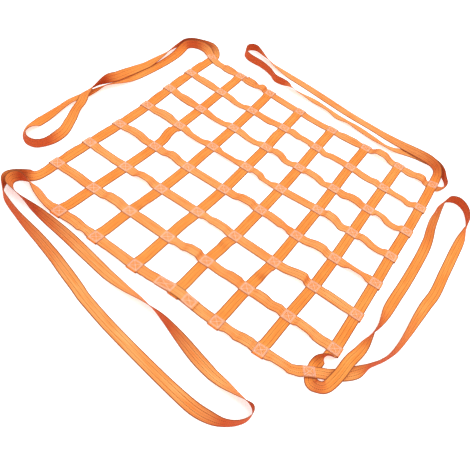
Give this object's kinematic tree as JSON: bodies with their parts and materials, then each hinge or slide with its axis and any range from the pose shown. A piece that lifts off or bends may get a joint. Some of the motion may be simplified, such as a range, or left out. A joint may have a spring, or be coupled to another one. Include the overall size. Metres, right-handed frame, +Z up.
{
  "type": "webbing cargo net",
  "caption": "Square grid of flat webbing straps inside a webbing border that runs on into a long lifting loop at each corner, lying flat.",
  "frame": {"origin": "middle of the underside of the box round the net and its loops, on the surface that it lies on", "axes": "+Z up from the surface; the a straps run along +Y, the longer way, and the b straps along +X"},
  "size_m": [1.961, 2.0754, 0.0601],
  "materials": {
    "webbing": "woven, matt"
  },
  "bodies": {
    "root": {"border_band": "webbing", "strap_a1": "webbing", "strap_a2": "webbing", "strap_a3": "webbing", "strap_a4": "webbing", "strap_a5": "webbing", "strap_a6": "webbing", "strap_b1": "webbing", "strap_b2": "webbing", "strap_b3": "webbing", "strap_b4": "webbing", "strap_b5": "webbing", "strap_b6": "webbing"}
  },
  "joints": []
}
